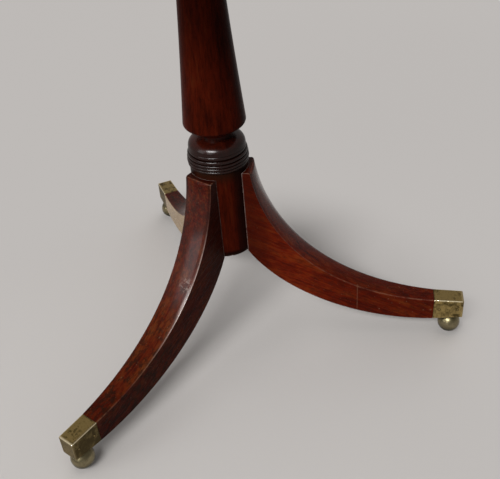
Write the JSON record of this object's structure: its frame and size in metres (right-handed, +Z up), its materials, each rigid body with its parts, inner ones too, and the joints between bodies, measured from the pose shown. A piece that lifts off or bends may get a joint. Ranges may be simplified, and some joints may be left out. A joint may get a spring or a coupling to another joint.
{
  "type": "tripod table",
  "caption": "Tilt-top tripod table: round top hinged on a block over a turned, tapering pillar, on sabre legs with brass box toe caps and ball feet; a sliding bolt locks the top level.",
  "frame": {"origin": "on the floor, under the pillar's axis and the middle of the round top", "axes": "+Z up, -Y towards the front leg and the catch, X along the axis that the top tilts on"},
  "size_m": [0.68, 0.68, 0.72],
  "materials": {
    "pillar_mahogany": "turned mahogany, very dark, polished",
    "leg_mahogany": "red-brown mahogany, polished and worn at the arrises",
    "top_mahogany": "figured mahogany, polished",
    "block_mahogany": "stained mahogany, waxed",
    "bearer_mahogany": "stained mahogany, waxed",
    "wedge_beech": "bare beech, end grain up",
    "cap_brass": "cast and filed brass, tarnished, bright at worn edges",
    "ball_brass": "turned brass, polished, dulled below",
    "catch_brass": "filed brass, satin",
    "pin_brass": "drawn brass wire, filed flush, dull",
    "screw_iron": "hand-filed wrought iron, dark"
  },
  "bodies": {
    "base": {"pillar": "pillar_mahogany", "tenon_wedge": "wedge_beech", "leg_front": "leg_mahogany", "leg_right": "leg_mahogany", "leg_left": "leg_mahogany", "toe_cap_front": "cap_brass", "toe_cap_right": "cap_brass", "toe_cap_left": "cap_brass", "ball_foot_front": "ball_brass", "ball_foot_right": "ball_brass", "ball_foot_left": "ball_brass", "cap_pin_front_1": "pin_brass", "cap_pin_front_2": "pin_brass", "cap_pin_front_3": "pin_brass", "cap_pin_front_4": "pin_brass", "cap_pin_right_1": "pin_brass", "cap_pin_right_2": "pin_brass", "cap_pin_right_3": "pin_brass", "cap_pin_right_4": "pin_brass", "cap_pin_left_1": "pin_brass", "cap_pin_left_2": "pin_brass", "cap_pin_left_3": "pin_brass", "cap_pin_left_4": "pin_brass", "tilt_block": "block_mahogany", "keeper_plate": "catch_brass", "keeper_screw_1": "screw_iron", "keeper_screw_2": "screw_iron"},
    "top": {"table_top": "top_mahogany", "bearer_left": "bearer_mahogany", "bearer_right": "bearer_mahogany", "bearer_screw_left_1": "screw_iron", "bearer_screw_left_2": "screw_iron", "bearer_screw_left_3": "screw_iron", "bearer_screw_right_1": "screw_iron", "bearer_screw_right_2": "screw_iron", "bearer_screw_right_3": "screw_iron", "catch_plate": "catch_brass", "catch_screw_1": "screw_iron", "catch_screw_2": "screw_iron", "catch_screw_3": "screw_iron", "catch_screw_4": "screw_iron"},
    "bolt": {"catch_bolt": "catch_brass", "catch_knob": "catch_brass"}
  },
  "joints": [
    {"name": "top_tilt", "type": "hinge", "parent": "base", "child": "top", "pos_m": [0, 0.063, 0.6827], "axis": [-1, 0, 0], "range_deg": [0, 90]},
    {"name": "bolt_slide", "type": "slide", "parent": "top", "child": "bolt", "axis": [0, 1, 0], "range_m": [0, 0.008]}
  ]
}
